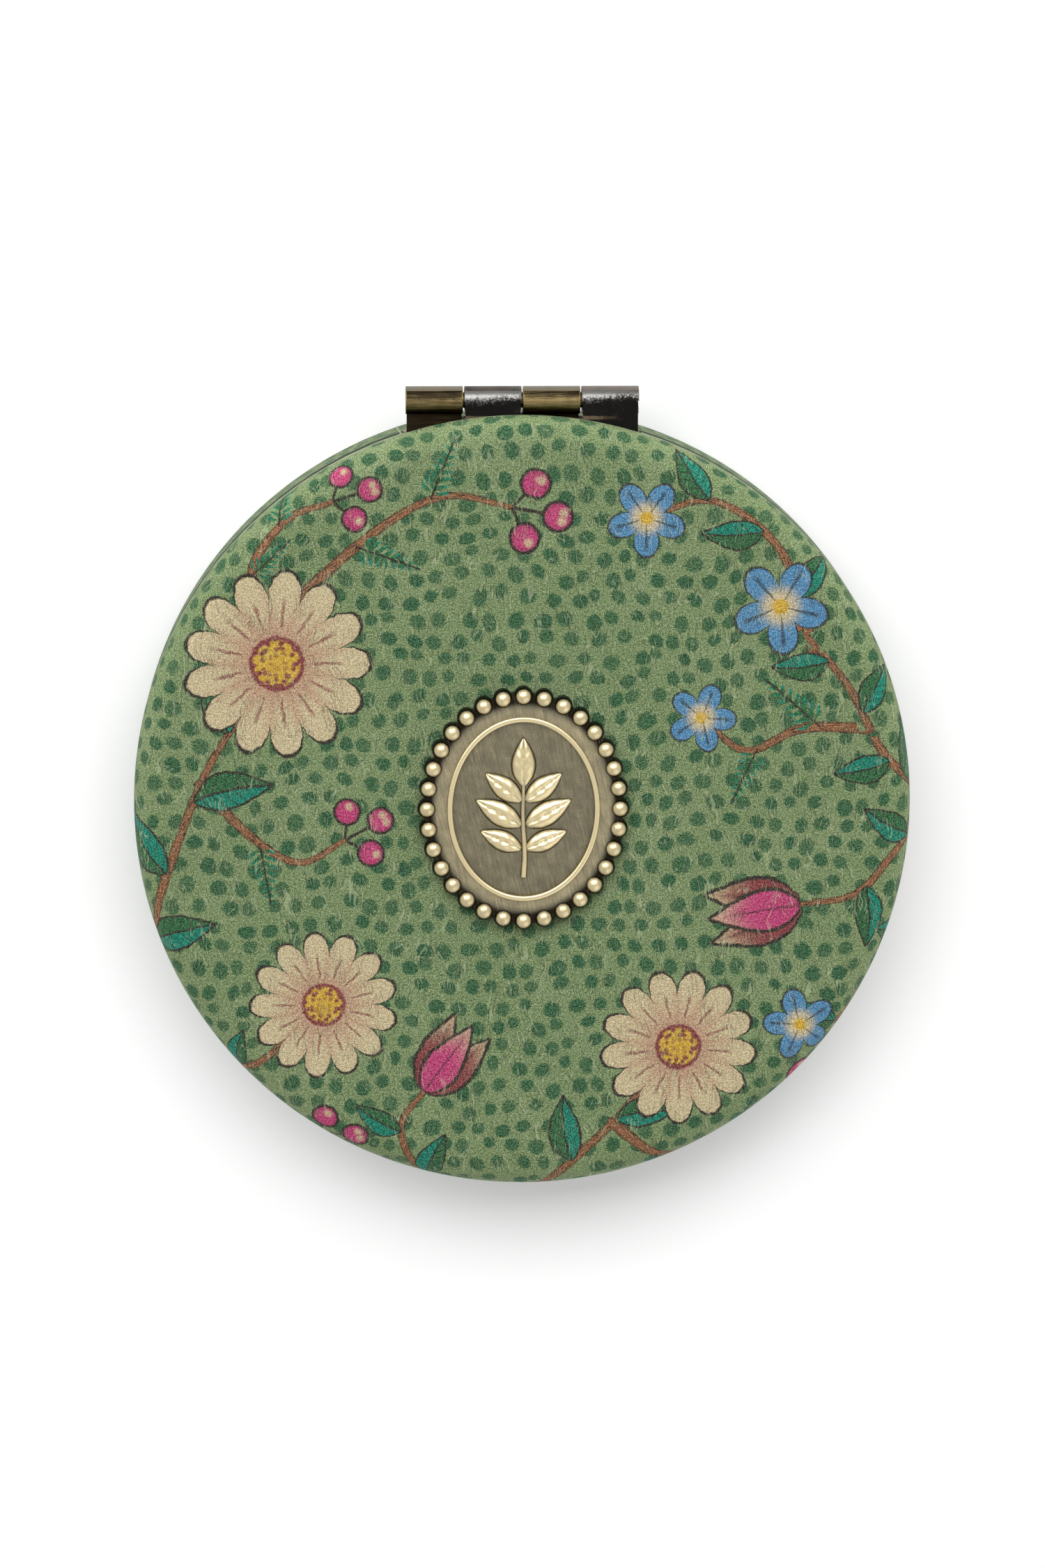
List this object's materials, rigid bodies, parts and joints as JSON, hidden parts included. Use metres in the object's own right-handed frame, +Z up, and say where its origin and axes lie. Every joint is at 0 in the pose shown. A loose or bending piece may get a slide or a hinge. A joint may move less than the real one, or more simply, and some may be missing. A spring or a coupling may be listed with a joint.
{
  "type": "compact mirror",
  "caption": "Round leatherette-covered pocket compact with a rolled metal hinge, an oval brass medallion on the lid, and a plane and a magnifying mirror inside.",
  "frame": {"origin": "centre of the base's flat back, on the surface that the closed compact lies on", "axes": "+Z up through the lid, +Y towards the hinge, +X to the right when the lid is seen with its hinge at the top"},
  "size_m": [0.07, 0.0724, 0.0147],
  "materials": {
    "leatherette": "matte print with a fine grain",
    "sponge": "open-cell foam",
    "shell_plastic": "moulded, fine matte",
    "mirror_glass": "polished, silvered behind",
    "adhesive_tape": "thin acrylic foam",
    "bezel_brass": "satin antique brass",
    "hinge_brass": "brushed antique brass",
    "hinge_dark_brass": "darkened brass, rubbed bright along the barrel",
    "medallion_brass": "antiqued brass, dark in the hollows",
    "steel": "plain drawn steel"
  },
  "bodies": {
    "base": {"base_cover": "leatherette", "base_padding": "sponge", "base_shell": "shell_plastic", "base_mirror": "mirror_glass", "base_mirror_tape": "adhesive_tape", "base_bezel": "bezel_brass", "base_magnet": "steel", "hinge_leaf_base": "hinge_brass", "hinge_rivets_base": "steel", "hinge_pin": "steel"},
    "lid": {"lid_cover": "leatherette", "lid_padding": "sponge", "lid_shell": "shell_plastic", "lid_mirror": "mirror_glass", "lid_mirror_tape": "adhesive_tape", "lid_bezel": "bezel_brass", "lid_keeper": "steel", "hinge_leaf_lid": "hinge_dark_brass", "hinge_rivets_lid": "steel", "medallion": "medallion_brass", "medallion_washers": "steel"}
  },
  "joints": [
    {"name": "lid_hinge", "type": "hinge", "parent": "base", "child": "lid", "pos_m": [0, 0.0362, 0.0087], "axis": [-1, 0, 0], "range_deg": [0, 180]}
  ]
}
